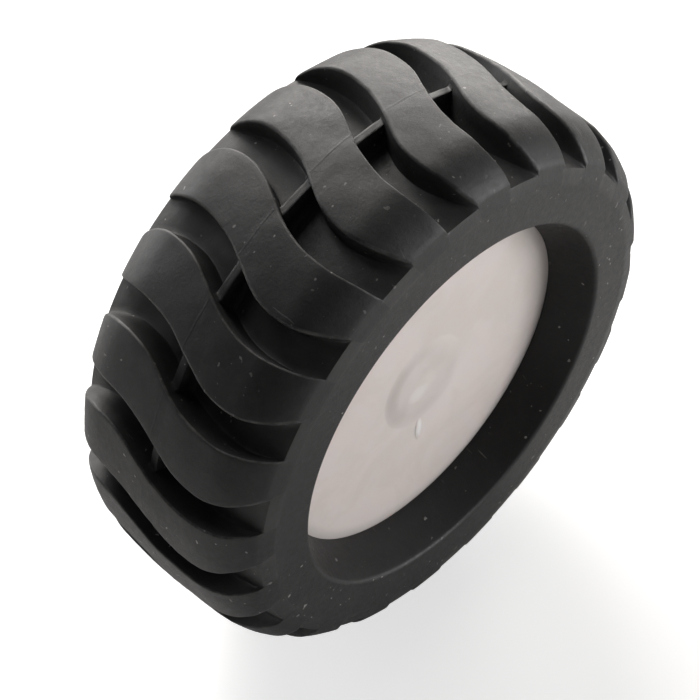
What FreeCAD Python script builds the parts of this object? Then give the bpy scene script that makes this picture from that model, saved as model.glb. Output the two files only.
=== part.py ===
"""Robot car wheel: a lugged rubber tyre on a moulded plastic hub with a blind D-shaped shaft bore.

Millimetres, +Z up. The origin is the wheel's centre and the wheel spins about Y. The hub's closed
face looks along -Y, and the shaft comes in from +Y. The tread grooves are symmetric about the top.
"""
import FreeCAD, Part
import math
import os
import Sketcher

# Driving sizes: name, value in millimetres or degrees, and what it is
SIZES = [
    ("tyre_diameter", 43.0, "over the middle of the lugs"),
    ("tyre_height", 7.55, "rubber from the hub's rim to the middle of the lugs"),
    ("tyre_width", 17.0, "over the flat sidewalls"),
    ("crown_radius", 42.0, "curve of the tread across its width"),
    ("shoulder_radius", 5.0, "curve from the tread to the corner"),
    ("corner_drop", 2.8, "corner between shoulder and sidewall, below the crown"),
    ("bead_lap", 0.7, "how far the tyre's bead covers each edge of the rim, on the radius"),
    ("mouth_flare", 1.25, "how much the mouth opens from the bead to its lip, on the radius"),
    ("lip_radius", 0.4, "round of the mouth's edge"),
    ("face_inset", 3.45, "from the sidewall in to the hub's face"),
    ("rim_width", 10.1, "from the hub's face to the rim's open edge"),
    ("rim_wall", 1.5, "rim thickness at its open edge"),
    ("rim_draft", 0.15, "how much thicker the rim is at its root"),
    ("face_thickness", 1.6, "hub's closed disc"),
    ("boss_diameter", 7.6, "shaft boss at its root"),
    ("boss_draft", 0.25, "how much the boss narrows to its end, on the radius"),
    ("boss_length", 11.3, "from the hub's face to the boss's end"),
    ("edge_break", 0.3, "slope on the open edges of the rim and the boss"),
    ("dome_diameter", 7.8, "low round in the middle of the hub's face"),
    ("dome_height", 0.14, "how far that round stands out"),
    ("spoke_count", 6, "ribs from the boss to the rim"),
    ("spoke_thickness", 1.2, "each rib"),
    ("spoke_setback", 1.2, "rib edge below the rim's open edge"),
    ("shaft_diameter", 3.0, "round part of the D bore"),
    ("shaft_flat", 2.5, "across the D bore's flat"),
    ("shaft_depth", 9.0, "from the boss's end to the bore's floor"),
    ("root_diameter", 4.4, "round lead-in that clears the bush at the shaft's root"),
    ("root_depth", 1.6, "lead-in from the boss's end"),
    ("lug_count", 20, "lugs round the tread"),
    ("groove_width", 2.36, "square across a groove"),
    ("groove_depth", 2.4, "below the crown"),
    ("floor_flat", 12.0, "level middle of a groove's floor, across the tyre"),
    ("floor_drop", 0.8, "how far the floor has come down at the sidewall"),
    ("wave_angle", 29.0, "slant of a groove where it crosses the middle"),
    ("wave_straight", 1.0, "half the straight stretch there"),
    ("wave_radius", 7.5, "groove's middle line from the straight to the crest"),
    ("runout_radius", 6.8, "groove's middle line from the crest to the shoulder"),
    ("runout_angle", 50.0, "slant of a groove where it leaves the shoulder"),
    ("web_thickness", 0.6, "thin ring that bridges the grooves in the middle"),
    ("web_drop", 0.85, "top of that ring below the crown"),
    ("web_foot_radius", 0.9, "hollow round between the ring and the groove's floor"),
    ("web_foot_sink", 0.25, "how far that round runs into the floor"),
    ("tool_margin", 1.0, "how far cutting shapes run past what they cut"),
]

# Places that follow from them
PLACES = [
    ("seat_radius", "tyre_diameter / 2 - tyre_height", "where the tyre sits on the rim"),
    ("bead_radius", "seat_radius - bead_lap", "hub face left bare by the bead"),
    ("mouth_radius", "bead_radius + mouth_flare", "opening in the sidewall"),
    ("face_place", "face_inset - tyre_width / 2", "hub's face along the axis"),
    ("rim_place", "face_place + rim_width", "rim's open edge"),
    ("disc_place", "face_place + face_thickness", "back of the closed disc"),
    ("boss_place", "face_place + boss_length", "boss's end"),
    ("spoke_place", "rim_place - spoke_setback", "edge of the ribs"),
    ("corner_radius", "tyre_diameter / 2 - corner_drop", "corner between shoulder and sidewall"),
    ("floor_radius", "tyre_diameter / 2 - groove_depth", "floor of a groove"),
    ("floor_edge", "floor_radius - floor_drop", "floor of a groove at the sidewall"),
    ("carcass_base", "floor_edge - tool_margin", "how deep a groove is cut before its floor is laid"),
]

PARTS_FOLDER = "parts"
DEG = math.pi / 180


def fill_sheet(doc):
    """Put each driving size in a cell of its own, under its name, and each place as a formula."""
    sheet = doc.addObject("Spreadsheet::Sheet", "Sizes")
    formulas = [(name, f"={formula}", meaning) for name, formula, meaning in PLACES]
    for row, (name, value, meaning) in enumerate(SIZES + formulas, start=1):
        sheet.set(f"A{row}", meaning)
        sheet.set(f"B{row}", str(value))
        sheet.setAlias(f"B{row}", name)
    doc.recompute()
    return sheet


class Drawing:
    """A sketch drawn as one chain of edges, held by named sizes from the sheet."""

    def __init__(self, body, name, plane, offset=None):
        self.sketch = body.newObject("Sketcher::SketchObject", name)
        for feature in body.Origin.OriginFeatures:
            if feature.Role == plane:
                self.sketch.AttachmentSupport = [(feature, "")]
        self.sketch.MapMode = "FlatFace"
        if offset:
            self.sketch.setExpression("AttachmentOffset.Base.z", offset)

    def line(self, start, end):
        edge = Part.LineSegment(FreeCAD.Vector(*start, 0), FreeCAD.Vector(*end, 0))
        return self.sketch.addGeometry(edge, False)

    def arc(self, centre, radius, start_deg, end_deg):
        circle = Part.Circle(FreeCAD.Vector(*centre, 0), FreeCAD.Vector(0, 0, 1), radius)
        arc = Part.ArcOfCircle(circle, start_deg * DEG, end_deg * DEG)
        return self.sketch.addGeometry(arc, False)

    def tie(self, kind, *what):
        self.sketch.addConstraint(Sketcher.Constraint(kind, *what))

    def size(self, kind, *what, value, to):
        """A dimension that starts at value and then follows the expression in to."""
        index = self.sketch.addConstraint(Sketcher.Constraint(kind, *what, value))
        self.sketch.setExpression(f"Constraints[{index}]", to)

    def across(self, edge, end, value, to):
        """Place a point along the sketch's first axis, from the origin."""
        self.size("DistanceX", -1, 1, edge, end, value=value, to=to)

    def up(self, edge, end, value, to):
        """Place a point along the sketch's second axis, from the origin."""
        self.size("DistanceY", -1, 1, edge, end, value=value, to=to)


START, END, CENTRE = range(1, 4)
ORIGIN, ACROSS_AXIS, UP_AXIS = -1, -1, -2


def revolve(body, name, drawing):
    """Turn a section in the YZ plane right round the wheel's axis."""
    feature = body.newObject("PartDesign::Revolution", name)
    feature.Profile = drawing.sketch
    feature.ReferenceAxis = (drawing.sketch, ["H_Axis"])
    feature.Angle = 360
    return feature


def repeat_round(doc, body, name, originals, count):
    """Repeat features round the wheel's axis."""
    pattern = body.newObject("PartDesign::PolarPattern", name)
    pattern.Originals = originals
    for feature in body.Origin.OriginFeatures:
        if feature.Role == "Y_Axis":
            pattern.Axis = (feature, [""])
    pattern.Angle = 360
    pattern.setExpression("Occurrences", count)
    body.Tip = pattern
    doc.recompute()
    return pattern


def tyre_section(body, size):
    """Crowned tread; on each side a round shoulder, a flat sidewall and a bead over the rim."""
    drawing = Drawing(body, "TyreSection", "YZ_Plane")
    radius, half = size("tyre_diameter") / 2, size("tyre_width") / 2
    crown, shoulder, lip = size("crown_radius"), size("shoulder_radius"), size("lip_radius")
    mouth, face, seat = size("mouth_radius"), size("bead_radius"), size("seat_radius")
    front, back = size("face_place"), size("rim_place")
    corner, lip_up = size("corner_radius"), mouth + lip

    # The shoulder touches the crown from inside and ends in the corner
    apart = math.hypot(half, corner - radius + crown)
    along = (apart**2 + (crown - shoulder) ** 2 - shoulder**2) / (2 * apart)
    aside = math.sqrt((crown - shoulder) ** 2 - along**2)
    reach = (along * half - aside * (corner - radius + crown)) / apart
    rise = (along * (corner - radius + crown) + aside * half) / apart
    shoulder_up = radius - crown + rise
    turn = math.degrees(math.atan2(rise, reach))
    stop_turn = math.degrees(math.atan2(corner - shoulder_up, half - reach))

    tread = drawing.arc((0, radius - crown), crown, turn, 180 - turn)
    drawing.tie("PointOnObject", tread, CENTRE, UP_AXIS)
    drawing.size("Radius", tread, value=crown, to="Sizes.crown_radius")
    drawing.up(tread, CENTRE, radius - crown, "Sizes.tyre_diameter / 2 - Sizes.crown_radius")

    beads = []
    for side, stop, where in ((1, back, "rim_place"), (-1, front, "face_place")):
        first, last = (stop_turn, turn) if side > 0 else (180 - turn, 180 - stop_turn)
        round_edge = drawing.arc((side * reach, shoulder_up), shoulder, first, last)
        high, low = (END, START) if side > 0 else (START, END)
        drawing.tie("Tangent", tread, START if side > 0 else END, round_edge, high)
        drawing.size("Radius", round_edge, value=shoulder, to="Sizes.shoulder_radius")

        wall = drawing.line((side * half, corner), (side * half, lip_up))
        drawing.tie("Coincident", round_edge, low, wall, START)
        drawing.tie("Vertical", wall)
        drawing.across(wall, END, side * half, f"{side} * Sizes.tyre_width / 2")
        drawing.up(wall, START, corner, "Sizes.corner_radius")

        first, last = (-90, 0) if side > 0 else (180, 270)
        lip_edge = drawing.arc((side * (half - lip), lip_up), lip, first, last)
        outer, inner = (END, START) if side > 0 else (START, END)
        drawing.tie("Tangent", wall, END, lip_edge, outer)
        drawing.size("Radius", lip_edge, value=lip, to="Sizes.lip_radius")
        drawing.up(lip_edge, CENTRE, lip_up, "Sizes.mouth_radius + Sizes.lip_radius")

        bore = drawing.line((side * (half - lip), mouth), (stop, face))
        drawing.tie("Tangent", lip_edge, inner, bore, START)
        drawing.up(bore, END, face, "Sizes.bead_radius")

        bead = drawing.line((stop, face), (stop, seat))
        drawing.tie("Coincident", bore, END, bead, START)
        drawing.tie("Vertical", bead)
        drawing.across(bead, END, stop, f"Sizes.{where}")
        beads.append(bead)

    rest = drawing.line((back, seat), (front, seat))
    drawing.tie("Coincident", beads[0], END, rest, START)
    drawing.tie("Coincident", beads[1], END, rest, END)
    drawing.tie("Horizontal", rest)
    drawing.up(rest, START, seat, "Sizes.seat_radius")
    return drawing


def groove_outline(body, size):
    """A wave seen from above: a slanted middle, a crest on each side and a run past the shoulder."""
    drawing = Drawing(body, "GrooveOutline", "XY_Plane", "Sizes.tyre_diameter / 2 + Sizes.tool_margin")
    slant = size("wave_angle")
    straight, wave, runout = size("wave_straight"), size("wave_radius"), size("runout_radius")
    width, lean = size("groove_width"), size("runout_angle")
    leave = (math.cos(lean * DEG), math.sin(lean * DEG))
    length = size("tyre_width") / 2
    along = (math.sin(slant * DEG), math.cos(slant * DEG))
    beside = (along[1], -along[0])
    centre = (along[0] * straight - beside[0] * wave, along[1] * straight - beside[1] * wave)
    far = (centre[0] + wave - runout, centre[1])

    def flank_line(side):
        shift = (beside[0] * side * width / 2, beside[1] * side * width / 2)
        foot = (shift[0] - along[0] * straight, shift[1] - along[1] * straight)
        return drawing.line(foot, (foot[0] + 2 * along[0] * straight, foot[1] + 2 * along[1] * straight))

    def wave_edges(side, half):
        """Crest, run-out and end of one flank. The half with -Y is the other one turned half round."""
        turned = 0 if half > 0 else 180
        bend, sweep = wave + side * width / 2, runout + side * width / 2
        crest = drawing.arc((half * centre[0], half * centre[1]), bend, turned - slant, turned)
        tail = drawing.arc((half * far[0], half * far[1]), sweep, turned, turned + lean)
        start = (half * (far[0] + sweep * leave[0]), half * (far[1] + sweep * leave[1]))
        end = (start[0] - half * length * leave[1], start[1] + half * length * leave[0])
        return crest, tail, drawing.line(start, end)

    def close_end(first, second):
        ends = [drawing.sketch.getPoint(run, END) for run in (first, second)]
        edge = drawing.line(*[(point.x, point.y) for point in ends])
        drawing.tie("Coincident", first, END, edge, START)
        drawing.tie("Coincident", second, END, edge, END)

    right, left = flank_line(1), flank_line(-1)
    drawing.tie("Symmetric", right, START, left, END, ORIGIN, 1)
    drawing.tie("Symmetric", right, END, left, START, ORIGIN, 1)
    drawing.size("Distance", left, END, right, value=width, to="Sizes.groove_width")
    drawing.size("Distance", right, START, right, END, value=2 * straight, to="2 * Sizes.wave_straight")
    drawing.size("Angle", right, value=(90 - slant) * DEG, to="(90 - Sizes.wave_angle) * 1 deg")

    # The half with +Y: both flanks bend about one centre, then run out about another
    outer, outer_tail, outer_run = wave_edges(1, 1)
    inner, inner_tail, inner_run = wave_edges(-1, 1)
    for flank, crest, tail, run in ((right, outer, outer_tail, outer_run), (left, inner, inner_tail, inner_run)):
        drawing.tie("Tangent", flank, END, crest, START)
        drawing.tie("Tangent", crest, END, tail, START)
        drawing.tie("Tangent", tail, END, run, START)
        drawing.size("Distance", run, START, run, END, value=length, to="Sizes.tyre_width / 2")
        drawing.size("Angle", run, value=(90 + lean) * DEG, to="(90 + Sizes.runout_angle) * 1 deg")
    drawing.tie("Coincident", outer, CENTRE, inner, CENTRE)
    drawing.tie("Coincident", outer_tail, CENTRE, inner_tail, CENTRE)
    drawing.tie("Horizontal", outer, CENTRE, outer_tail, CENTRE)
    drawing.size("Radius", outer, value=wave + width / 2,
                 to="Sizes.wave_radius + Sizes.groove_width / 2")
    drawing.size("Radius", outer_tail, value=runout + width / 2,
                 to="Sizes.runout_radius + Sizes.groove_width / 2")
    close_end(outer_run, inner_run)

    # The half with -Y follows it, end for end
    ends = []
    for side, edges in ((1, (outer, outer_tail, outer_run)), (-1, (inner, inner_tail, inner_run))):
        others = wave_edges(side, -1)
        for edge, other in zip(edges, others):
            drawing.tie("Symmetric", edge, START, other, START, ORIGIN, 1)
            drawing.tie("Symmetric", edge, END, other, END, ORIGIN, 1)
        for edge, other in zip(edges[:2], others[:2]):
            drawing.tie("Equal", edge, other)
        ends.append(others[-1])
    close_end(*ends)
    return drawing


def carcass_section(body, size):
    """What is left under the grooves: level in the middle and bending down to each sidewall."""
    drawing = Drawing(body, "CarcassSection", "YZ_Plane")
    half, flat = size("tyre_width") / 2, size("floor_flat") / 2
    floor, edge, base = size("floor_radius"), size("floor_edge"), size("carcass_base")
    bend = ((half - flat) ** 2 + (floor - edge) ** 2) / (2 * (floor - edge))
    turn = math.degrees(math.acos((half - flat) / bend))
    level = drawing.line((flat, floor), (-flat, floor))
    drawing.size("DistanceX", level, END, level, START, value=2 * flat, to="Sizes.floor_flat")
    drawing.tie("Symmetric", level, START, level, END, UP_AXIS)
    drawing.up(level, END, floor, "Sizes.floor_radius")
    bottom = drawing.line((-half, base), (half, base))
    drawing.size("DistanceX", bottom, START, bottom, END, value=2 * half, to="Sizes.tyre_width")
    drawing.tie("Symmetric", bottom, START, bottom, END, UP_AXIS)
    drawing.up(bottom, END, base, "Sizes.carcass_base")
    for side in (1, -1):
        wall = drawing.line((side * half, base), (side * half, edge))
        drawing.tie("Coincident", wall, START, bottom, END if side > 0 else START)
        drawing.tie("Vertical", wall)
        drawing.up(wall, END, edge, "Sizes.floor_edge")
        first, last = (turn, 90) if side > 0 else (90, 180 - turn)
        curve = drawing.arc((side * flat, floor - bend), bend, first, last)
        high, low = (END, START) if side > 0 else (START, END)
        drawing.tie("Tangent", level, START if side > 0 else END, curve, high)
        drawing.tie("Coincident", wall, END, curve, low)
    return drawing


def web_section(body, size):
    """The ring that bridges each groove in its middle, flared into the groove's floor."""
    drawing = Drawing(body, "WebSection", "YZ_Plane")
    half, foot, sink = size("web_thickness") / 2, size("web_foot_radius"), size("web_foot_sink")
    crest = size("tyre_diameter") / 2 - size("web_drop")
    base = size("floor_radius") - sink
    top = drawing.line((-half, crest), (half, crest))
    drawing.size("DistanceX", top, START, top, END, value=2 * half, to="Sizes.web_thickness")
    drawing.tie("Symmetric", top, START, top, END, UP_AXIS)
    drawing.up(top, END, crest, "Sizes.tyre_diameter / 2 - Sizes.web_drop")
    bottom = drawing.line((-half - foot, base), (half + foot, base))
    drawing.tie("Horizontal", bottom)
    drawing.up(bottom, END, base, "Sizes.floor_radius - Sizes.web_foot_sink")
    for side in (1, -1):
        flank = drawing.line((side * half, crest), (side * half, base + foot))
        drawing.tie("Coincident", flank, START, top, END if side > 0 else START)
        drawing.tie("Vertical", flank)
        first, last = (180, 270) if side > 0 else (270, 360)
        flare = drawing.arc((side * (half + foot), base + foot), foot, first, last)
        high, low = (START, END) if side > 0 else (END, START)
        drawing.tie("Tangent", flank, END, flare, high)
        drawing.tie("Tangent", flare, low, bottom, END if side > 0 else START)
        drawing.size("Radius", flare, value=foot, to="Sizes.web_foot_radius")
    return drawing


def make_tyre(doc, size):
    """One rubber moulding: a ring with wavy grooves across its tread and a thin web round them."""
    body = doc.addObject("PartDesign::Body", "Tyre")
    body.Label = "tyre"
    revolve(body, "Ring", tyre_section(body, size))
    doc.recompute()
    plain = body.Shape.Volume

    groove = body.newObject("PartDesign::Pocket", "Groove")
    groove.Profile = groove_outline(body, size).sketch
    groove.setExpression("Length", "Sizes.tyre_diameter / 2 - Sizes.carcass_base + Sizes.tool_margin")
    doc.recompute()
    one = plain - body.Shape.Volume
    repeat_round(doc, body, "Grooves", [groove], "Sizes.lug_count")
    expected = one * size("lug_count")
    if abs(plain - body.Shape.Volume - expected) > 0.01 * expected or one <= 0:
        raise RuntimeError("the tread grooves aren't all cut")

    revolve(body, "Carcass", carcass_section(body, size))
    revolve(body, "Web", web_section(body, size))
    doc.recompute()
    return body


def hub_section(body, size):
    """A cup on its side: a closed disc, a rim for the tyre and a boss in the middle."""
    drawing = Drawing(body, "HubSection", "YZ_Plane")
    face, disc_back = size("face_place"), size("disc_place")
    rim_edge, boss_end = size("rim_place"), size("boss_place")
    seat = size("seat_radius")
    rim_in = seat - size("rim_wall")
    boss, slope = size("boss_diameter") / 2, size("edge_break")
    tip = boss - size("boss_draft")
    inside = "Sizes.seat_radius - Sizes.rim_wall"
    outside = "Sizes.boss_diameter / 2 - Sizes.boss_draft"
    points = [
        ((face, 0), "face_place", "0 mm"),
        ((face, seat), "face_place", "Sizes.seat_radius"),
        ((rim_edge, seat), "rim_place", "Sizes.seat_radius"),
        ((rim_edge, rim_in + slope), "rim_place", f"{inside} + Sizes.edge_break"),
        ((rim_edge - slope, rim_in), "rim_place - Sizes.edge_break", inside),
        ((disc_back, rim_in - size("rim_draft")), "disc_place", f"{inside} - Sizes.rim_draft"),
        ((disc_back, boss), "disc_place", "Sizes.boss_diameter / 2"),
        ((boss_end - slope, tip), "boss_place - Sizes.edge_break", outside),
        ((boss_end, tip - slope), "boss_place", f"{outside} - Sizes.edge_break"),
        ((boss_end, 0), "boss_place", "0 mm"),
    ]
    corners = [point for point, _, _ in points]
    edges = [drawing.line(a, b) for a, b in zip(corners, corners[1:] + corners[:1])]
    for index, edge in enumerate(edges):
        drawing.tie("Coincident", edge, END, edges[(index + 1) % len(edges)], START)
        (across, up), place, height = points[index]
        drawing.across(edge, START, across, f"Sizes.{place}")
        if up:
            drawing.up(edge, START, up, height)
        else:
            drawing.tie("PointOnObject", edge, START, ACROSS_AXIS)
    return drawing


def dome_section(body, size):
    """A low round cap on the middle of the hub's face, over the boss."""
    drawing = Drawing(body, "DomeSection", "YZ_Plane")
    front = size("face_place")
    rim, height = size("dome_diameter") / 2, size("dome_height")
    radius = (rim**2 + height**2) / (2 * height)
    half_angle = math.degrees(math.asin(rim / radius))
    cap = drawing.arc((front - height + radius, 0), radius, 180 - half_angle, 180)
    face = drawing.line((front, rim), (front, 0))
    axis = drawing.line((front, 0), (front - height, 0))
    drawing.tie("Coincident", cap, START, face, START)
    drawing.tie("Coincident", face, END, axis, START)
    drawing.tie("Coincident", axis, END, cap, END)
    drawing.tie("Vertical", face)
    drawing.tie("PointOnObject", axis, START, ACROSS_AXIS)
    drawing.tie("PointOnObject", axis, END, ACROSS_AXIS)
    drawing.tie("PointOnObject", cap, CENTRE, ACROSS_AXIS)
    drawing.across(axis, START, front, "Sizes.face_place")
    drawing.size("DistanceX", axis, END, axis, START, value=height, to="Sizes.dome_height")
    drawing.up(face, START, rim, "Sizes.dome_diameter / 2")
    return drawing


def spoke_outline(body, size):
    """One rib in the plane of the axis, from inside the boss's wall to inside the rim's wall."""
    drawing = Drawing(body, "SpokeOutline", "XY_Plane")
    low = size("face_place") + size("face_thickness") / 2
    high = size("spoke_place")
    inner = (size("root_diameter") / 2 + size("boss_diameter") / 2 - size("boss_draft")) / 2
    outer = size("seat_radius") - size("rim_wall") / 2
    corners = [(inner, low), (outer, low), (outer, high), (inner, high)]
    edges = [drawing.line(a, b) for a, b in zip(corners, corners[1:] + corners[:1])]
    for index, edge in enumerate(edges):
        drawing.tie("Coincident", edge, END, edges[(index + 1) % 4], START)
        drawing.tie("Vertical" if index % 2 else "Horizontal", edge)
    drawing.across(edges[0], START, inner,
                   "(Sizes.root_diameter / 2 + Sizes.boss_diameter / 2 - Sizes.boss_draft) / 2")
    drawing.across(edges[0], END, outer, "Sizes.seat_radius - Sizes.rim_wall / 2")
    drawing.up(edges[0], START, low, "Sizes.face_place + Sizes.face_thickness / 2")
    drawing.up(edges[2], START, high, "Sizes.spoke_place")
    return drawing


def shaft_outline(body, size):
    """A circle with one flat, on the boss's end. The flat is at the top."""
    drawing = Drawing(body, "ShaftOutline", "XZ_Plane", "-Sizes.boss_place")
    radius = size("shaft_diameter") / 2
    flat = size("shaft_flat") - radius
    angle = math.degrees(math.asin(flat / radius))
    half = math.sqrt(radius**2 - flat**2)
    round_part = drawing.arc((0, 0), radius, 180 - angle, 360 + angle)
    flat_part = drawing.line((half, flat), (-half, flat))
    drawing.tie("Coincident", round_part, CENTRE, ORIGIN, 1)
    drawing.tie("Coincident", round_part, END, flat_part, START)
    drawing.tie("Coincident", round_part, START, flat_part, END)
    drawing.tie("Horizontal", flat_part)
    drawing.size("Radius", round_part, value=radius, to="Sizes.shaft_diameter / 2")
    drawing.up(flat_part, START, flat, "Sizes.shaft_flat - Sizes.shaft_diameter / 2")
    return drawing


def root_outline(body, size):
    """The circle of the lead-in, on the boss's end."""
    drawing = Drawing(body, "RootOutline", "XZ_Plane", "-Sizes.boss_place")
    circle = Part.Circle(FreeCAD.Vector(0, 0, 0), FreeCAD.Vector(0, 0, 1), size("root_diameter") / 2)
    edge = drawing.sketch.addGeometry(circle, False)
    drawing.tie("Coincident", edge, CENTRE, ORIGIN, 1)
    drawing.size("Radius", edge, value=size("root_diameter") / 2, to="Sizes.root_diameter / 2")
    return drawing


def sink(doc, body, name, drawing, depth):
    """Cut a pocket from the boss's end towards the face, and see that it did cut."""
    before = body.Shape.Volume
    pocket = body.newObject("PartDesign::Pocket", name)
    pocket.Profile = drawing.sketch
    pocket.Reversed = True
    pocket.setExpression("Length", depth)
    doc.recompute()
    if body.Shape.Volume >= before:
        raise RuntimeError(f"{name} cuts nothing")


def make_hub(doc, size):
    """One plastic moulding: rim, closed face, boss with its shaft bore, and the ribs behind the face."""
    body = doc.addObject("PartDesign::Body", "Hub")
    body.Label = "hub"
    revolve(body, "Cup", hub_section(body, size))
    doc.recompute()
    revolve(body, "Dome", dome_section(body, size))
    doc.recompute()

    spoke = body.newObject("PartDesign::Pad", "Spoke")
    spoke.Profile = spoke_outline(body, size).sketch
    spoke.SideType = "Symmetric"
    spoke.setExpression("Length", "Sizes.spoke_thickness")
    doc.recompute()
    repeat_round(doc, body, "Spokes", [spoke], "Sizes.spoke_count")

    sink(doc, body, "ShaftBore", shaft_outline(body, size), "Sizes.shaft_depth")
    sink(doc, body, "ShaftRoot", root_outline(body, size), "Sizes.root_depth")
    return body


def check(doc, bodies):
    """Stop if any feature failed or any sub-part isn't one valid solid."""
    for thing in doc.Objects:
        if "Invalid" in thing.State or "Error" in thing.State:
            raise RuntimeError(f"{thing.Name} failed: {thing.State}")
    for body in bodies:
        shape = body.Shape
        if shape.isNull() or not shape.isValid() or len(shape.Solids) != 1:
            raise RuntimeError(f"{body.Label} isn't one valid solid")


def main():
    doc = FreeCAD.newDocument("robot_car_wheel")
    sheet = fill_sheet(doc)

    def size(name):
        return float(getattr(sheet, name))

    bodies = [make_tyre(doc, size), make_hub(doc, size)]
    doc.recompute()
    check(doc, bodies)
    os.makedirs(PARTS_FOLDER, exist_ok=True)
    for body in bodies:
        body.Shape.exportStep(os.path.join(PARTS_FOLDER, f"{body.Label}.step"))
        box = body.Shape.BoundBox
        print(f"{body.Label}: {body.Shape.Volume:.1f} mm3, box {box.XLength:.2f} x {box.YLength:.2f} x "
              f"{box.ZLength:.2f} mm, {len(body.Shape.Faces)} faces")


main()
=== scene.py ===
"""Robot car wheel: a lugged rubber tyre on a milky plastic hub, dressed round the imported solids.

Metres, +Z up. The wheel stands on its tread, its axis is Y and the hub's closed face looks along -Y.
One pitch of the tread is turned from the tyre's section, pressed into shape and repeated round.
"""
import math

import bpy
from mathutils import Matrix, Vector, noise


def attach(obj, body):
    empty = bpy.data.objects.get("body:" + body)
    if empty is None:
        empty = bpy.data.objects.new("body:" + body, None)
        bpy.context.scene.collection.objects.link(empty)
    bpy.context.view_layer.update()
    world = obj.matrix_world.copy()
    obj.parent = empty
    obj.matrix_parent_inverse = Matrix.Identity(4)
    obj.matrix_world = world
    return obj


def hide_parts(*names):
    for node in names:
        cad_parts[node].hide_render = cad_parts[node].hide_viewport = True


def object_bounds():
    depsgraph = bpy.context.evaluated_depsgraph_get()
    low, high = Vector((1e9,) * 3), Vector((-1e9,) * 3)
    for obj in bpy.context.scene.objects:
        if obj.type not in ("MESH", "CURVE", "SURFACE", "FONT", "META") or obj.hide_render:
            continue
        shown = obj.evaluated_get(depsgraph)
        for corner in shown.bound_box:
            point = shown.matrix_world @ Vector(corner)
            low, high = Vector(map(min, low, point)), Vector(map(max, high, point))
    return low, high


bl_info = {
    "name": "Robot car wheel",
    "version": (1, 0, 0),
    "blender": (4, 5, 0),
    "location": "View3D > Sidebar > Wheel",
    "description": "Models and dresses a small robot car wheel",
    "category": "Object",
}

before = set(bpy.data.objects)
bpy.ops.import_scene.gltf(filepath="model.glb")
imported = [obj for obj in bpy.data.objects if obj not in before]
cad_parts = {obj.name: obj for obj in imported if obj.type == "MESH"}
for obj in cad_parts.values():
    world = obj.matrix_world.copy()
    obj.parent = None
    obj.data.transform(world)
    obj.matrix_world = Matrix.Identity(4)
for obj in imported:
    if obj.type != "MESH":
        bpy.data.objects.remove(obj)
CAD_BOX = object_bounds()
MM = 0.001


def length(name, description, millimetres):
    """A length that a user may change, shown in the scene's units."""
    return bpy.props.FloatProperty(
        name=name, description=description, default=millimetres * MM, unit="LENGTH", precision=5
    )


def colour(name, description, red, green, blue):
    return bpy.props.FloatVectorProperty(
        name=name, description=description, default=(red, green, blue), subtype="COLOR", min=0, max=1
    )


def watts(name, description, power):
    return bpy.props.FloatProperty(name=name, description=description, default=power, min=0)


class WheelSizes(bpy.types.PropertyGroup):
    """Sizes of the tyre. The corner's slope, the floor's drop and the small rounds are the scene's own."""

    tyre_radius: length("Tyre radius", "Axis to the middle of a lug", 21.5)
    tyre_width: length("Tyre width", "Over the sidewalls", 17.0)
    crown_radius: length("Crown radius", "Curve of the tread across its width", 42.0)
    shoulder_radius: length("Shoulder radius", "Curve from the tread to the corner", 5.0)
    corner_radius: length("Corner place", "Axis to the corner between shoulder and sidewall", 18.7)
    corner_in: length("Corner slope, in", "Where that corner's soft slope starts, from the sidewall", 0.30)
    corner_down: length("Corner slope, down", "How far the slope takes the corner down the sidewall", 0.85)
    seat_radius: length("Seat radius", "Where the tyre sits on the rim", 13.95)
    bead_radius: length("Bead radius", "Hub face left bare by the bead", 13.25)
    mouth_radius: length("Mouth radius", "Opening in the sidewall", 14.5)
    lip_radius: length("Lip radius", "Round of the mouth's edge", 0.4)
    bead_place: length("Bead place", "Each bead from the middle of the tyre", 5.05)
    lug_count: bpy.props.IntProperty(name="Lugs", description="Lugs round the tread", default=20, min=3)
    groove_width: length("Groove width", "Square across a groove", 2.36)
    groove_depth: length("Groove depth", "Below the middle of a lug", 2.4)
    floor_flat: length("Floor flat", "Half the level stretch of a groove's floor", 6.0)
    floor_drop: length("Floor drop", "How far the floor has come down at the sidewall", 0.40)
    wave_angle: bpy.props.FloatProperty(
        name="Wave angle",
        description="Slant of a groove in the middle",
        default=math.radians(29),
        subtype="ANGLE",
    )
    wave_straight: length("Wave straight", "Half the straight stretch in the middle", 1.0)
    wave_radius: length("Wave radius", "Middle line from the straight to the crest", 7.5)
    runout_radius: length("Run-out radius", "Middle line from the crest outwards", 6.8)
    web_thickness: length("Web thickness", "Thin ring that bridges the grooves", 0.6)
    web_drop: length("Web drop", "Top of that ring below the lugs", 0.85)
    web_foot: length("Web foot", "Hollow round between the ring and the floor", 0.9)
    web_sink: length("Web sink", "How far that round runs into the floor", 0.25)
    soft_edge: length("Soft edge", "Round on a lug's worn edge", 0.24)
    crisp_edge: length("Crisp edge", "Round on a lug's other edge", 0.16)
    floor_round: length("Floor round", "Round at the foot of a lug", 0.22)
    seam_height: length("Seam height", "Moulding seam round the middle of the lugs", 0.012)
    unevenness: length("Unevenness", "How far the moulded tread strays from its form", 0.05)


class WheelFinish(bpy.types.PropertyGroup):
    """Colours and light that a user may change."""

    rubber: colour("Rubber", "Clean moulded rubber", 0.0265, 0.0260, 0.0260)
    rubber_dust: colour("Dusty rubber", "Rubber with a bloom of dust", 0.075, 0.073, 0.071)
    plastic: colour("Plastic", "Milky plastic of the hub", 0.87, 0.80, 0.77)
    key_power: watts("Key light", "Window behind the wheel", 5.3)
    low_power: watts("Low light", "Low lamp behind, on the right", 2.5)
    back_power: watts("Back light", "Low lamp behind, on the left", 2.1)
    high_power: watts("High light", "Small lamp above the others", 0.6)
    front_power: watts("Front light", "Low lamp in front of the closed face", 3.2)
    sky: bpy.props.FloatProperty(name="Sky", description="Level of the tent round the wheel", default=0.06)


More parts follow.
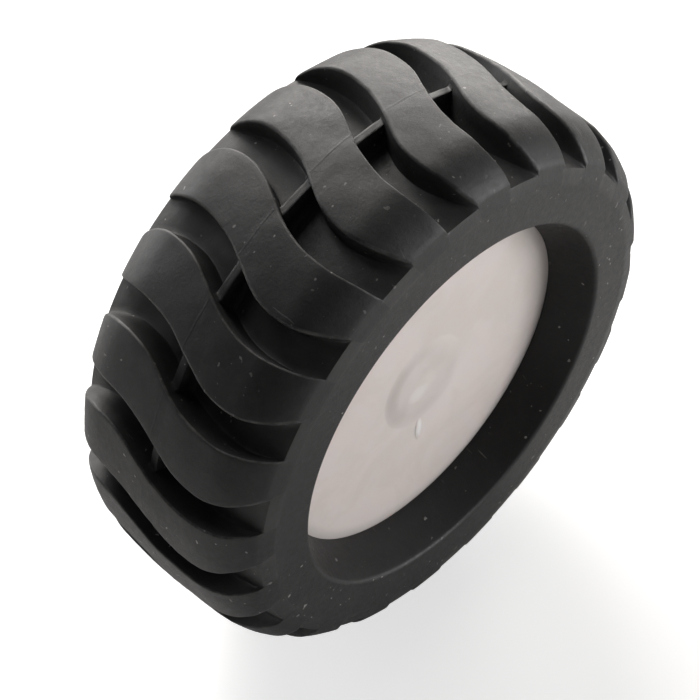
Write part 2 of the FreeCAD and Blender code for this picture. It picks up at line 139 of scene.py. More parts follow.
def deselect_all():
    if bpy.context.object and bpy.context.object.mode != "OBJECT":
        bpy.ops.object.mode_set(mode="OBJECT")
    bpy.ops.object.select_all(action="DESELECT")


def settle(piece, material):
    """Give a finished piece its finish and let it ride on the wheel."""
    piece.data.materials.clear()
    piece.data.materials.append(material)
    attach(piece, "root")


def smoothstep(value):
    value = min(max(value, 0.0), 1.0)
    return value * value * (3 - 2 * value)


def on_wheel(across, radius, angle):
    """A point at a place across the wheel, a distance from its axis and a turn from the top."""
    return Vector((radius * math.sin(angle), across, radius * math.cos(angle)))


class TyreForm:
    """Works out where each point of one tread pitch lies. The groove is at the top."""

    # Columns from the middle of a groove to the middle of a lug
    FLOOR_STEPS, FOOT_STEPS, WALL_STEPS, EDGE_STEPS, LUG_STEPS = 3, 2, 2, 5, 6

    # Rows across the tread, which widen outwards, and down the shoulder, the sidewall and the lip
    FIRST_ROW, WIDEST_ROW, ROW_GROWTH = 0.16 * MM, 0.42 * MM, 1.25
    SHOULDER_ROWS, SIDEWALL_ROWS, LIP_ROWS, FOOT_ROWS = 13, 6, 6, 5

    # The corner's soft slope: rows as shares of its width, and how softly it starts
    SLOPE_SHARES = (-0.85, -0.7, -0.55, -0.4, -0.2, 0.0, 0.4)
    SLOPE_CURVE = 1.15

    # Small rounds, the least depth of a groove, and how far under its end the sidewall's rows start
    SEAM_HALF, WEB_ROUND, BEAD_ROUND = 0.05 * MM, 0.08 * MM, 0.12 * MM
    LEAST_DEPTH, SIDEWALL_START = 0.01 * MM, 0.3 * MM

    # The most that a round takes of a groove's depth, and a run-out arc of its own radius
    EDGE_SHARE, FOOT_SHARE, ARC_SHARE = 0.45, 0.4, 0.9

    def __init__(self, sizes):
        self.s = sizes
        self.half_width = sizes.tyre_width / 2
        crown, shoulder = sizes.crown_radius, sizes.shoulder_radius
        self.crown_centre = sizes.tyre_radius - crown
        corner_up = sizes.corner_radius - self.crown_centre
        apart = math.hypot(self.half_width, corner_up)
        along = (apart**2 + (crown - shoulder) ** 2 - shoulder**2) / (2 * apart)
        aside = math.sqrt((crown - shoulder) ** 2 - along**2)
        self.reach = (along * self.half_width - aside * corner_up) / apart
        rise = (along * corner_up + aside * self.half_width) / apart
        self.shoulder_centre = self.crown_centre + rise
        self.turn = math.atan2(rise, self.reach)
        self.crown_end = crown * math.cos(self.turn)
        self.floor = sizes.tyre_radius - sizes.groove_depth
        fall = self.half_width - sizes.floor_flat
        self.floor_bend = (fall**2 + sizes.floor_drop**2) / (2 * sizes.floor_drop)
        slant = sizes.wave_angle
        along = (math.sin(slant), math.cos(slant))
        self.crest_centre = (
            along[0] * sizes.wave_straight - along[1] * sizes.wave_radius,
            along[1] * sizes.wave_straight + along[0] * sizes.wave_radius,
        )
        self.straight_end = along
        self.steps = (
            self.FLOOR_STEPS + self.FOOT_STEPS + self.WALL_STEPS + self.EDGE_STEPS + self.LUG_STEPS
        )
        self.rows = self.make_rows()
        self.last_tread_row = len(self.rows) - 1

    def trim(self, y):
        """What the corner's soft slope takes off a radius. Past the corner, it runs down the wall."""
        past = abs(y) - self.half_width
        near = min(max((past + self.s.corner_in) / self.s.corner_in, 0.0), 1.0)
        return self.s.corner_down * near**self.SLOPE_CURVE + max(past, 0.0)

    def skin_radius(self, y):
        """Radius of the uncut tyre at a place across its width."""
        out = min(abs(y), self.half_width)
        if out <= self.crown_end:
            return self.crown_centre + math.sqrt(self.s.crown_radius**2 - out * out)
        reach = out - self.reach
        return self.shoulder_centre + math.sqrt(self.s.shoulder_radius**2 - reach * reach) - self.trim(y)

    def floor_radius(self, y):
        """Radius of a groove's floor there."""
        past = max(min(abs(y), self.half_width) - self.s.floor_flat, 0.0)
        carcass = self.floor - self.floor_bend + math.sqrt(self.floor_bend**2 - past * past)
        return min(carcass, self.skin_radius(y) - self.LEAST_DEPTH)

    def flank(self, y, side):
        """How far a groove's flank lies from the top's middle line, and its slant there."""
        half = 1 if y >= 0 else -1
        y, side = abs(y), side * half
        sizes = self.s
        slant, offset = sizes.wave_angle, side * sizes.groove_width / 2
        centre_x, centre_y = self.crest_centre
        line_end = self.straight_end[1] * sizes.wave_straight - math.sin(slant) * offset
        if y < line_end:
            return half * (y * math.tan(slant) + offset / math.cos(slant)), slant
        if y < centre_y:
            bend = sizes.wave_radius + offset
            x = centre_x + math.sqrt(bend**2 - (y - centre_y) ** 2)
            return half * x, math.asin((centre_y - y) / bend)
        sweep = sizes.runout_radius + offset
        rise = min(y - centre_y, sweep * self.ARC_SHARE)
        x = centre_x + sizes.wave_radius - sizes.runout_radius + math.sqrt(sweep**2 - rise**2)
        return half * x, math.asin(rise / sweep)

    def web_profile(self):
        """Half the web in the groove, from its middle out to the floor: (across, height)."""
        sizes = self.s
        top = sizes.tyre_radius - sizes.web_drop
        half, foot = sizes.web_thickness / 2, sizes.web_foot
        base = self.floor - sizes.web_sink + foot
        soft = self.WEB_ROUND
        points = [(0.0, top), (half * 0.45, top), (half - soft, top)]
        points += [(half - soft * 0.3, top - soft * 0.3), (half, top - soft), (half, base)]
        last = math.acos(1 - sizes.web_sink / foot)
        for step in range(1, self.FOOT_ROWS + 1):
            angle = math.pi / 2 + (last - math.pi / 2) * step / self.FOOT_ROWS
            points.append((half + foot - foot * math.sin(angle), base - foot * math.cos(angle)))
        return points

    def make_rows(self):
        """Rows from the tread's middle outwards: place on the skin, then place and height in the groove."""
        rows = []
        web = self.web_profile()
        last = web[-1][0]
        for index, (across, height) in enumerate(web):
            rows.append((last * index / (len(web) - 1), across, height))
        rows[1] = (self.SEAM_HALF, *rows[1][1:])
        place = last
        step = self.FIRST_ROW
        while place + step < self.crown_end:
            place += step
            rows.append((place, place, self.floor_radius(place)))
            step = min(step * self.ROW_GROWTH, self.WIDEST_ROW)
        soft = self.s.corner_in
        last_out = self.half_width - soft - self.reach
        stop = math.acos(last_out / self.s.shoulder_radius)
        places = []
        for index in range(self.SHOULDER_ROWS):
            angle = self.turn + (stop - self.turn) * index / (self.SHOULDER_ROWS - 1)
            places.append(self.reach + self.s.shoulder_radius * math.cos(angle))
        places += [self.half_width + soft * share for share in self.SLOPE_SHARES]
        rows += [(place, place, self.floor_radius(place)) for place in places]
        return rows

    def outline(self):
        """The half section from the tread's middle to the seat's middle, as (across, radius)."""
        sizes = self.s
        points = [(min(place, self.half_width), self.skin_radius(place)) for place, _, _ in self.rows]
        lip, lip_up = sizes.lip_radius, sizes.mouth_radius + sizes.lip_radius
        lip_in = self.half_width - lip
        high = self.floor_radius(self.half_width) - self.SIDEWALL_START
        shares = [index / self.SIDEWALL_ROWS for index in range(self.SIDEWALL_ROWS)]
        points += [(self.half_width, high + (lip_up - high) * share) for share in shares]

        # The recess wall touches the lip's round
        inward, upward = lip_in - sizes.bead_place, lip_up - sizes.bead_radius
        lean = math.atan2(upward, inward) - math.asin(lip / math.hypot(inward, upward))
        for index in range(self.LIP_ROWS + 1):
            angle = (lean - math.pi / 2) * index / self.LIP_ROWS
            points.append((lip_in + lip * math.cos(angle), lip_up + lip * math.sin(angle)))
        touch = points[-1]
        for share in (0.05, 0.25, 0.5, 0.75, 0.95):
            across = touch[0] + (sizes.bead_place - touch[0]) * share
            points.append((across, touch[1] + (sizes.bead_radius - touch[1]) * share))
        soft = self.BEAD_ROUND
        points.append((sizes.bead_place + soft * 0.3, sizes.bead_radius + soft * 0.3))
        points.append((sizes.bead_place, sizes.bead_radius + soft))
        points.append((sizes.bead_place, sizes.seat_radius))
        points.append((sizes.bead_place * 0.5, sizes.seat_radius))
        points.append((0.0, sizes.seat_radius))
        return points

    def worn(self, column):
        """Whether a column lies on a lug's edge, where the rubber is rubbed."""
        edge = abs(column) - self.steps + self.EDGE_STEPS + self.LUG_STEPS
        return 1.0 if 1 <= edge <= self.EDGE_STEPS - 1 else 0.0

    def hollow(self, column):
        """Whether a column lies in the groove, where dust stays."""
        return 1.0 if abs(column) <= self.FLOOR_STEPS + self.FOOT_STEPS else 0.0

    def tread_point(self, row, column, sign):
        """Where the point of a tread row and a column of the pitch lies."""
        sizes = self.s
        side = 1 if column >= 0 else -1
        count = abs(column)
        place, across, height = self.rows[row]
        seam = sizes.seam_height if row == 0 else 0.0
        place, across = place * sign, across * sign
        wide = sign * min(abs(place), self.half_width)
        first, second = self.flank(place, 1), self.flank(place, -1)
        flank_x, slant = first if side > 0 else second
        skin = self.skin_radius(place)

        def top_height(x):
            return math.sqrt(skin**2 - x * x)

        def depth(x):
            return top_height(x) - math.sqrt(self.floor_radius(place) ** 2 - x * x)

        def edge_round(which, x):
            return min(sizes.soft_edge if which > 0 else sizes.crisp_edge, depth(x) * self.EDGE_SHARE)

        edge_up = edge_round(side, flank_x)
        edge_out = edge_up / math.cos(slant)
        foot = min(sizes.floor_round, depth(flank_x) * self.FOOT_SHARE)

        foot_start = self.FLOOR_STEPS
        wall_start = foot_start + self.FOOT_STEPS
        edge_start = wall_start + self.WALL_STEPS
        lug_start = edge_start + self.EDGE_STEPS
        if count <= wall_start:
            base_x = self.flank(across, side)[0]
            base_middle = (self.flank(across, 1)[0] + self.flank(across, -1)[0]) / 2
            foot_x = base_x - side * foot
            rise = 0.0
            if count <= foot_start:
                x = base_middle + (foot_x - base_middle) * count / foot_start
            else:
                angle = math.pi / 2 * (count - foot_start) / self.FOOT_STEPS
                x = foot_x + side * foot * math.sin(angle)
                rise = foot * (1 - math.cos(angle))
            limit = math.sqrt(self.skin_radius(across) ** 2 - x * x)
            held = min(max(across, -self.half_width), self.half_width)
            return Vector((x, held, min(math.sqrt(height**2 - x * x) + rise, limit)))
        if count < edge_start:
            share = (count - wall_start) / self.WALL_STEPS
            low = self.tread_point(row, side * wall_start, sign)
            high = Vector((flank_x, wide, top_height(flank_x) - edge_up))
            return low.lerp(high, share)
        if count <= lug_start:
            angle = math.pi / 2 * (count - edge_start) / self.EDGE_STEPS
            x = flank_x + side * edge_out * (1 - math.cos(angle))
            z = top_height(x) - edge_up * (1 - math.sin(angle))
            if count == lug_start:
                z += seam
            return Vector((x, wide, z))
        start_x = flank_x + side * edge_out
        start = math.asin(start_x / skin)
        pitch = 2 * math.pi / sizes.lug_count
        other_x, other_slant = second if side > 0 else first
        other_out = edge_round(-side, other_x) / math.cos(other_slant)
        neighbour = math.asin((other_x - side * other_out) / skin) + side * pitch
        end = (start + neighbour) / 2
        angle = start + (end - start) * (count - lug_start) / self.LUG_STEPS
        return on_wheel(wide, skin + seam, angle)


def draw_chain(points):
    """Extrude a single corner point into a chain, in edit mode."""
    bpy.ops.mesh.primitive_plane_add(size=MM, location=points[0])
    obj = bpy.context.object
    bpy.ops.object.mode_set(mode="EDIT")
    bpy.ops.mesh.merge(type="CENTER")
    for start, end in zip(points, points[1:]):
        bpy.ops.mesh.extrude_vertices_move(TRANSFORM_OT_translate={"value": end - start})
    bpy.ops.mesh.select_all(action="SELECT")
    bpy.ops.object.mode_set(mode="OBJECT")
    bpy.ops.object.transform_apply(location=True, rotation=True, scale=True)
    return obj


class WHEEL_OT_tyre(bpy.types.Operator):
    """Model the rubber tyre: one pitch of the tread, repeated round the wheel."""

    bl_idname = "wheel.tyre"
    bl_label = "Tyre"

    # Rows over which a groove's shape fades out down the sidewall, and a worn edge towards it
    SHAPE_FADE, WEAR_FADE = 5, 8
    MERGE_DISTANCE = 0.002 * MM
    LONG_WAVE, SHORT_WAVE, SHORT_SHARE = 2.4 * MM, 0.7 * MM, 0.4
    NOISE_SEED = 7

    def execute(self, context):
        sizes = context.scene.wheel_sizes
        form = TyreForm(sizes)
        half = form.outline()
        loop = half + [(-across, radius) for across, radius in reversed(half[1:-1])]
        pitch = 2 * math.pi / sizes.lug_count

        deselect_all()
        tyre = draw_chain([on_wheel(across, radius, pitch / 2) for across, radius in loop])
        tyre.name = tyre.data.name = "moulded_tyre"
        bpy.ops.object.mode_set(mode="EDIT")
        bpy.ops.mesh.select_all(action="SELECT")
        bpy.ops.mesh.edge_face_add()
        bpy.ops.mesh.delete(type="ONLY_FACE")
        bpy.ops.mesh.select_all(action="SELECT")
        bpy.ops.mesh.spin(steps=2 * form.steps, angle=pitch, center=(0, 0, 0), axis=(0, 1, 0))
        bpy.ops.object.mode_set(mode="OBJECT")
        self.press(tyre, form, half, pitch)
        self.repeat(sizes.lug_count, pitch)
        self.stray(tyre, sizes)
        bpy.ops.object.shade_smooth_by_angle(angle=math.radians(40))
        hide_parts("tyre")
        settle(tyre, rubber_material(context.scene.wheel_finish))
        return {"FINISHED"}

    def press(self, tyre, form, half, pitch):
        """Move the turned pitch's points to the tread's form, and mark worn edges and the groove."""
        columns = 2 * form.steps
        last = form.last_tread_row
        wear = tyre.data.attributes.new("wear", "FLOAT", "POINT")
        hollow = tyre.data.attributes.new("hollow", "FLOAT", "POINT")
        for vertex in tyre.data.vertices:
            across = vertex.co.y
            radius = math.hypot(vertex.co.x, vertex.co.z)
            angle = math.atan2(vertex.co.x, vertex.co.z)
            column = round(angle / pitch * columns)
            row = min(
                range(len(half)), key=lambda i: abs(half[i][0] - abs(across)) + abs(half[i][1] - radius)
            )
            sign = 1 if across >= 0 else -1
            if row <= last:
                vertex.co = form.tread_point(row, column, sign)
                fade = smoothstep((last - row) / self.WEAR_FADE)
                wear.data[vertex.index].value = form.worn(column) * fade
                hollow.data[vertex.index].value = form.hollow(column)
            else:
                edge = form.tread_point(last, column, sign)
                weight = smoothstep((row - last) / self.SHAPE_FADE)
                bent = math.atan2(edge.x, edge.z)
                vertex.co = on_wheel(across, radius, bent + (angle - bent) * weight)

    def repeat(self, count, pitch):
        """Weld the pitch's own points, turn it round the wheel and weld the pitches."""
        bpy.ops.object.mode_set(mode="EDIT")
        bpy.ops.mesh.select_all(action="SELECT")
        bpy.ops.mesh.remove_doubles(threshold=self.MERGE_DISTANCE)
        bpy.ops.mesh.select_all(action="SELECT")
        bpy.ops.mesh.spin(
            steps=count - 1, dupli=True, angle=2 * math.pi - pitch, center=(0, 0, 0), axis=(0, 1, 0)
        )
        bpy.ops.mesh.select_all(action="SELECT")
        bpy.ops.mesh.remove_doubles(threshold=self.MERGE_DISTANCE)
        bpy.ops.mesh.select_all(action="SELECT")
        bpy.ops.mesh.normals_make_consistent(inside=False)
        bpy.ops.object.mode_set(mode="OBJECT")

    def stray(self, tyre, sizes):
        """Let the moulded tread stray a little, each lug its own way."""
        noise.seed_set(self.NOISE_SEED)
        level, wall = sizes.tyre_radius - sizes.groove_depth * 2, sizes.tyre_width / 2
        for vertex in tyre.data.vertices:
            place = vertex.co
            share = smoothstep((math.hypot(place.x, place.z) - level) / MM)
            share *= smoothstep((wall - abs(place.y)) / MM)
            wave = noise.noise_vector(place / self.LONG_WAVE)
            wave += noise.noise_vector(place / self.SHORT_WAVE) * self.SHORT_SHARE
            vertex.co = place + wave * sizes.unevenness * share


class Nodes:
    """A short hand for wiring a material."""

    def __init__(self, name):
        self.material = bpy.data.materials.new(name)
        self.material.use_nodes = True
        self.tree = self.material.node_tree
        self.tree.nodes.clear()
        self.place = self.add("ShaderNodeTexCoord").outputs["Object"]

    def add(self, kind, **settings):
        node = self.tree.nodes.new(kind)
        for name, value in settings.items():
            setattr(node, name, value)
        return node

    def feed(self, socket, value):
        """Wire an output to an input, or set the input's value."""
        if isinstance(value, bpy.types.NodeSocket):
            self.tree.links.new(value, socket)
        else:
            socket.default_value = value

    def noise(self, scale, detail=3.0, roughness=0.5, distortion=0.0, place=None):
        node = self.add("ShaderNodeTexNoise")
        self.feed(node.inputs["Vector"], place or self.place)
        node.inputs["Scale"].default_value = scale
        node.inputs["Detail"].default_value = detail
        node.inputs["Roughness"].default_value = roughness
        node.inputs["Distortion"].default_value = distortion
        return node.outputs["Fac"]

    def attribute(self, name):
        return self.add("ShaderNodeAttribute", attribute_name=name).outputs["Fac"]

    def math(self, operation, first, second=0.0):
        node = self.add("ShaderNodeMath", operation=operation)
        self.feed(node.inputs[0], first)
        self.feed(node.inputs[1], second)
        return node.outputs[0]

    def span(self, value, low, high, to_low=0.0, to_high=1.0, smooth=False):
        node = self.add("ShaderNodeMapRange", interpolation_type="SMOOTHSTEP" if smooth else "LINEAR")
        self.feed(node.inputs["Value"], value)
        node.inputs["From Min"].default_value = low
        node.inputs["From Max"].default_value = high
        node.inputs["To Min"].default_value = to_low
        node.inputs["To Max"].default_value = to_high
        return node.outputs["Result"]

    def mix(self, share, first, second):
        node = self.add("ShaderNodeMix", data_type="RGBA")
        self.feed(node.inputs["Factor"], share)
        for socket, value in (("A_Color", first), ("B_Color", second)):
            self.feed(next(i for i in node.inputs if i.identifier == socket), value)
        return next(o for o in node.outputs if o.identifier == "Result_Color")

    def bump(self, height, strength, distance, normal=None):
        node = self.add("ShaderNodeBump")
        node.inputs["Strength"].default_value = strength
        node.inputs["Distance"].default_value = distance
        self.feed(node.inputs["Height"], height)
        if normal:
            self.feed(node.inputs["Normal"], normal)
        return node.outputs["Normal"]

    def parts(self):
        """The place's x, y and z, and how far it lies from the wheel's axis."""
        split = self.add("ShaderNodeSeparateXYZ")
        self.feed(split.inputs[0], self.place)
        x, y, z = split.outputs
        square = self.math("ADD", self.math("MULTIPLY", x, x), self.math("MULTIPLY", z, z))
        return x, y, z, self.math("SQRT", square)

    def product(self, *factors):
        result = factors[0]
        for factor in factors[1:]:
            result = self.math("MULTIPLY", result, factor)
        return result

    def surface(self, **sockets):
        """End in one Principled shader."""
        shader = self.add("ShaderNodeBsdfPrincipled")
        output = self.add("ShaderNodeOutputMaterial")
        self.tree.links.new(shader.outputs[0], output.inputs["Surface"])
        for name, value in sockets.items():
            self.feed(shader.inputs[name.replace("_", " ")], value)
        return self.material


RUBBED_EDGE = (0.15, 0.146, 0.142, 1)
DUST_SPECK = (0.33, 0.32, 0.31, 1)
SCRATCH = (0.16, 0.155, 0.15, 1)
PAINTED_MOUTH_SHADE = (0.004, 0.004, 0.004, 1)
PAINTED_TOP_SHADE = (0, 0, 0, 1)
PALE_PIP_AND_GLINT = (1.0, 0.98, 0.96, 1)

# A pale pip and a painted glint on the closed face, as (across, up, half width, half height)
PIP = (-0.66 * MM, -0.64 * MM, 1.1 * MM, 1.0 * MM)
# The glint is a painted highlight below the ring
GLINT_SPOT = (-0.43 * MM, -5.0 * MM, 0.42 * MM, 1.3 * MM)


def shaded(base, *shares):
    """A colour with each of its channels scaled, for a mix."""
    return (*(value * share for value, share in zip(base, shares)), 1)


def rubber_material(finish):
    """Black moulded rubber: fine grain, a faint bloom, rubbed edges, a few specks of dust and painted shade
    in the mouth.
    """
    n = Nodes("moulded_rubber")
    clean, dusty = (*finish.rubber, 1), (*finish.rubber_dust, 1)
    bloom = n.span(n.noise(420, detail=8, roughness=0.72), 0.45, 0.70, smooth=True)
    tone = n.mix(n.product(bloom, 0.20), clean, dusty)
    mottle = n.span(n.noise(2600, detail=5, roughness=0.8), 0.35, 0.65, 0.0, 0.40)
    tone = n.mix(mottle, tone, shaded(finish.rubber, 0.55, 0.55, 0.55))

    # Dust lies in the grooves, the lugs' edges are rubbed pale and the mouth gets painted shade, darker
    # inside its edge
    patchy = n.span(n.noise(520, detail=5, roughness=0.7), 0.42, 0.62)
    tone = n.mix(n.product(n.attribute("wear"), patchy, 0.55), tone, RUBBED_EDGE)
    silt = n.span(n.noise(330, detail=4), 0.35, 0.7)
    tone = n.mix(n.product(n.attribute("hollow"), silt, 0.5), tone, dusty)
    radius = n.parts()[3]
    # Painted shade: the rubber of the mouth and the recess behind it is darkened
    tone = n.mix(n.span(radius, 14.2 * MM, 15.2 * MM, 0.55, 0.0, smooth=True), tone, PAINTED_MOUTH_SHADE)
    tone = specks_and_scratches(n, tone)

    rough = n.span(n.noise(2100, detail=4, roughness=0.7), 0.3, 0.7, 0.46, 0.58)
    grain = n.bump(n.noise(3600, detail=6, roughness=0.75), 0.50, 0.045 * MM)
    pits = n.bump(n.span(n.noise(1250, detail=2), 0.24, 0.34), 0.14, 0.04 * MM, grain)
    waves = n.bump(n.noise(520, detail=3), 0.07, 0.12 * MM, pits)
    return n.surface(Base_Color=tone, Roughness=rough, Normal=waves, IOR=1.5)


def specks_and_scratches(n, tone):
    """Lay patches of pale specks and a few fine scratches, all one way, over a tone."""
    patchy = n.span(n.noise(190, detail=2), 0.40, 0.60)
    specks = n.span(n.noise(2300, detail=1), 0.735, 0.775, smooth=True)
    tone = n.mix(n.product(specks, patchy, 0.8), tone, DUST_SPECK)
    stretched = n.add("ShaderNodeMapping")
    n.feed(stretched.inputs["Vector"], n.place)
    stretched.inputs["Rotation"].default_value = (0.5, 0.7, 0.4)
    stretched.inputs["Scale"].default_value = (5200, 260, 900)
    line = n.span(n.noise(1, detail=2, place=stretched.outputs["Vector"]), 0.72, 0.76, smooth=True)
    few = n.span(n.noise(130, detail=1), 0.5, 0.6)
    return n.mix(n.product(line, few, 0.45), tone, SCRATCH)


def oval(n, x, z, place, share):
    """A soft oval seen along the axle, as strong as its share in the middle."""
    across, up, wide, tall = place
    aside = n.math("DIVIDE", n.math("SUBTRACT", x, across), wide)
    above = n.math("DIVIDE", n.math("SUBTRACT", z, up), tall)
    reach = n.math("ADD", n.math("MULTIPLY", aside, aside), n.math("MULTIPLY", above, above))
    return n.span(reach, 0.0, 1.0, share, 0.0, smooth=True)


def plastic_material(finish):
    """Milky plastic that lets a little light in, with a faint ring of painted shade round the middle of the
    face, a painted glint, and painted shade at the rim and towards the top.
    """
    n = Nodes("milky_plastic")
    plastic = finish.plastic
    cloudy = n.span(n.noise(190, detail=5, roughness=0.6, distortion=0.6), 0.40, 0.60, smooth=True)
    tone = n.mix(cloudy, (*plastic, 1), shaded(plastic, 0.955, 0.95, 0.935))
    x, y, z, radius = n.parts()
    # Painted shade: the face gets a little darker towards the top
    tone = n.mix(n.span(z, -9 * MM, 9 * MM, 0.0, 0.05), tone, PAINTED_TOP_SHADE)

    # The ring, stronger above and to the left, is painted shade round the swell; then the pip, a painted
    # glint below it and painted shade at the rim
    front = n.span(y, -4.95 * MM, -4.9 * MM, 1.0, 0.0)
    patchy = n.span(n.noise(330, detail=2), 0.35, 0.6, 0.45, 1.0, smooth=True)
    inside = n.span(radius, 2.6 * MM, 4.1 * MM, 1.0, 0.0, smooth=True)
    outside = n.span(radius, 0.5 * MM, 1.5 * MM, smooth=True)
    # Painted shade: a darker ring round the raised swell in the middle of the face
    ring_shade = n.product(inside, outside, front, patchy, 0.22)
    tone = n.mix(ring_shade, tone, shaded(plastic, 0.60, 0.58, 0.58))
    pip = n.product(oval(n, x, z, PIP, 0.45), front)
    # Painted highlight: a pale glint below the ring, also raised a little in the bump below
    glint_spot = n.product(oval(n, x, z, GLINT_SPOT, 1.0), front)
    tone = n.mix(glint_spot, n.mix(pip, tone, PALE_PIP_AND_GLINT), PALE_PIP_AND_GLINT)
    # Painted shade: the face darkens towards its rim, where the recess shades it
    rim_shade = n.product(n.span(radius, 12.2 * MM, 13.3 * MM, smooth=True), front, 0.45)
    tone = n.mix(rim_shade, tone, shaded(plastic, 0.5, 0.5, 0.5))

    rough = n.span(n.noise(260, detail=1), 0.3, 0.7, 0.28, 0.33)
    lean = n.math("SUBTRACT", n.math("MULTIPLY", z, 0.94), n.math("MULTIPLY", x, 0.34))
    side = n.span(lean, -3.5 * MM, 3.0 * MM, 0.15, 1.0, smooth=True)
    swell = n.product(n.span(radius, 2.5 * MM, 4.0 * MM, 1.0, 0.0, smooth=True), front, side)
    raised = n.bump(glint_spot, 1.0, 0.12 * MM, n.bump(swell, 0.9, 0.30 * MM))
    waves = n.bump(n.noise(170, detail=2), 0.25, 0.2 * MM, raised)
    return n.surface(
        Base_Color=tone,
        Roughness=rough,
        Normal=waves,
        Subsurface_Weight=0.35,
        Subsurface_Radius=(1.0, 0.8, 0.7),
        Subsurface_Scale=1.2 * MM,
        IOR=1.46,
    )


class WHEEL_OT_hub(bpy.types.Operator):
    """Finish the plastic hub."""

    bl_idname = "wheel.hub"
    bl_label = "Hub"

    def execute(self, context):
        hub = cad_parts["hub"]
        hub.data.materials.clear()
        hub.data.materials.append(plastic_material(context.scene.wheel_finish))
        return {"FINISHED"}


# The camera as fitted to the wheel's outline: the axle's slant in the picture and its angle to the
# line of sight, the wheel's turn about the axle, and the distance
CAMERA_ROLL, CAMERA_LEAN = math.radians(36.3131), math.radians(63.2449)
CAMERA_PHASE = math.radians(30.6)
CAMERA_DISTANCE = 0.13145
CAMERA_LENS = 95.25
CAMERA_SHIFT = (-0.0303, -0.00904)

LAMP_DISTANCE = 0.7
WARM = (1.0, 0.965, 0.93)
FLOOR_RADIUS, FLOOR_GAP = 0.42, 0.02 * MM


def camera_matrix():
    """Camera to world, from the fitted angles."""
    roll, lean = CAMERA_ROLL, CAMERA_LEAN
    front = Vector((math.sin(lean) * math.cos(roll), -math.sin(lean) * math.sin(roll), math.cos(lean)))
    first = Vector((math.sin(roll), math.cos(roll), 0))
    second = front.cross(first)
    side = first * math.cos(CAMERA_PHASE) - second * math.sin(CAMERA_PHASE)
    up = first * math.sin(CAMERA_PHASE) + second * math.cos(CAMERA_PHASE)
    turn = Matrix((side, -front, up))
    return Matrix.Translation(turn @ Vector((0, 0, CAMERA_DISTANCE))) @ turn.to_4x4()


def add_lamp(name, elevation, azimuth, size, power, tint=(1, 1, 1)):
    """A square soft lamp that looks at the wheel's middle. Azimuth runs from +X towards +Y."""
    high, turned = math.radians(elevation), math.radians(azimuth)
    level = math.cos(high)
    direction = Vector((math.cos(turned) * level, math.sin(turned) * level, math.sin(high)))
    bpy.ops.object.light_add(type="AREA", location=direction * LAMP_DISTANCE)
    lamp = bpy.context.object
    lamp.name = name
    lamp.data.shape = "SQUARE"
    lamp.data.size = size
    lamp.data.energy = power
    lamp.data.color = tint
    lamp.rotation_euler = direction.to_track_quat("Z", "Y").to_euler()
    lamp.visible_camera = False


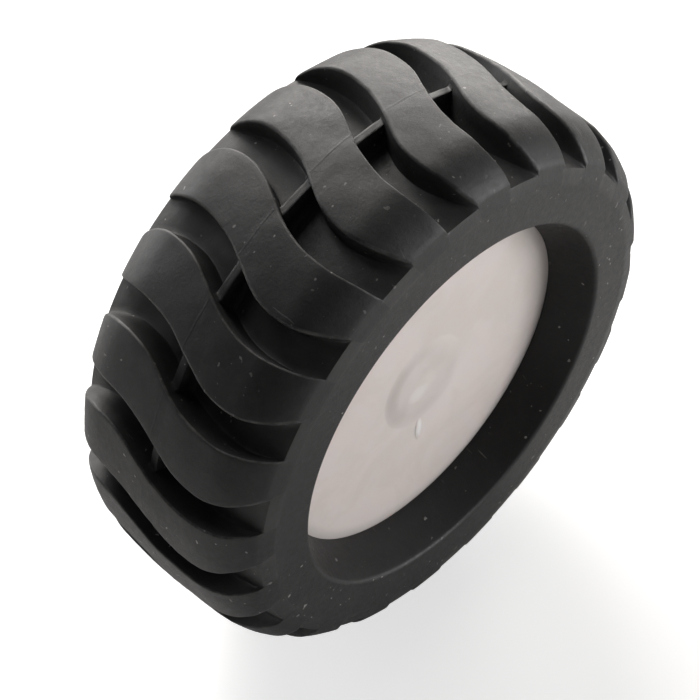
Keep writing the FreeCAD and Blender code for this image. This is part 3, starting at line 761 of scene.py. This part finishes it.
class WHEEL_OT_stage(bpy.types.Operator):
    """Lay the pale floor, light the wheel and set the camera."""

    bl_idname = "wheel.stage"
    bl_label = "Stage"

    def execute(self, context):
        finish = context.scene.wheel_finish
        deselect_all()
        bpy.ops.mesh.primitive_circle_add(
            vertices=96, radius=FLOOR_RADIUS, fill_type="NGON", location=(0, 0, CAD_BOX[0].z - FLOOR_GAP)
        )
        floor = bpy.context.object
        floor.name = "floor"
        floor.data.materials.append(self.floor_material())
        self.sky(context.scene, finish.sky)
        add_lamp("key_lamp", 30, 60, 0.40, finish.key_power, WARM)
        add_lamp("low_lamp", 8, 30, 0.28, finish.low_power, WARM)
        add_lamp("back_lamp", 8, 100, 0.40, finish.back_power)
        add_lamp("high_lamp", 55, 90, 0.28, finish.high_power)
        add_lamp("front_lamp", 8, -50, 0.34, finish.front_power)
        bpy.ops.object.camera_add()
        camera = bpy.context.object
        camera.matrix_world = camera_matrix()
        camera.data.lens = CAMERA_LENS
        camera.data.sensor_width = 36
        camera.data.shift_x, camera.data.shift_y = CAMERA_SHIFT
        camera.data.clip_start = 0.005
        context.scene.camera = camera
        context.scene.view_settings.view_transform = "Standard"
        return {"FINISHED"}

    def floor_material(self):
        n = Nodes("pale_floor")
        shade = n.noise(3, detail=2)
        tone = n.mix(n.span(shade, 0.3, 0.7), (0.80, 0.80, 0.80, 1), (0.82, 0.82, 0.82, 1))
        path = n.add("ShaderNodeLightPath")
        glow = n.math("MULTIPLY", path.outputs["Is Camera Ray"], 0.6)
        return n.surface(
            Base_Color=tone, Roughness=0.9, Emission_Color=(1, 1, 1, 1), Emission_Strength=glow
        )

    def sky(self, scene, level):
        world = bpy.data.worlds.new("white_tent")
        world.use_nodes = True
        scene.world = world
        nodes, links = world.node_tree.nodes, world.node_tree.links
        nodes.clear()
        path = nodes.new("ShaderNodeLightPath")
        ray = nodes.new("ShaderNodeMath")
        ray.operation = "MAXIMUM"
        links.new(path.outputs["Is Camera Ray"], ray.inputs[0])
        links.new(path.outputs["Is Transmission Ray"], ray.inputs[1])
        plain = nodes.new("ShaderNodeBackground")
        white = nodes.new("ShaderNodeBackground")
        mix = nodes.new("ShaderNodeMixShader")
        plain.inputs["Strength"].default_value = level
        plain.inputs["Color"].default_value = (1, 1, 1, 1)
        white.inputs["Color"].default_value = (1, 1, 1, 1)
        output = nodes.new("ShaderNodeOutputWorld")
        links.new(ray.outputs[0], mix.inputs["Fac"])
        links.new(plain.outputs[0], mix.inputs[1])
        links.new(white.outputs[0], mix.inputs[2])
        links.new(mix.outputs[0], output.inputs["Surface"])


class WHEEL_PT_panel(bpy.types.Panel):
    """Lists the wheel's operators and sizes."""

    bl_label = "Robot car wheel"
    bl_idname = "WHEEL_PT_panel"
    bl_space_type = "VIEW_3D"
    bl_region_type = "UI"
    bl_category = "Wheel"

    def draw(self, context):
        column = self.layout.column()
        for operator in OPERATORS:
            column.operator(operator.bl_idname)
        for group in (context.scene.wheel_sizes, context.scene.wheel_finish):
            for name in group.__annotations__:
                column.prop(group, name)


OPERATORS = (WHEEL_OT_tyre, WHEEL_OT_hub, WHEEL_OT_stage)
CLASSES = (WheelSizes, WheelFinish, *OPERATORS, WHEEL_PT_panel)


def register():
    for cls in CLASSES:
        bpy.utils.register_class(cls)
    bpy.types.Scene.wheel_sizes = bpy.props.PointerProperty(type=WheelSizes)
    bpy.types.Scene.wheel_finish = bpy.props.PointerProperty(type=WheelFinish)


def unregister():
    del bpy.types.Scene.wheel_finish
    del bpy.types.Scene.wheel_sizes
    for cls in reversed(CLASSES):
        bpy.utils.unregister_class(cls)


def main():
    register()
    bpy.ops.wheel.tyre()
    bpy.ops.wheel.hub()
    bpy.ops.wheel.stage()


if __name__ == "__main__":
    main()
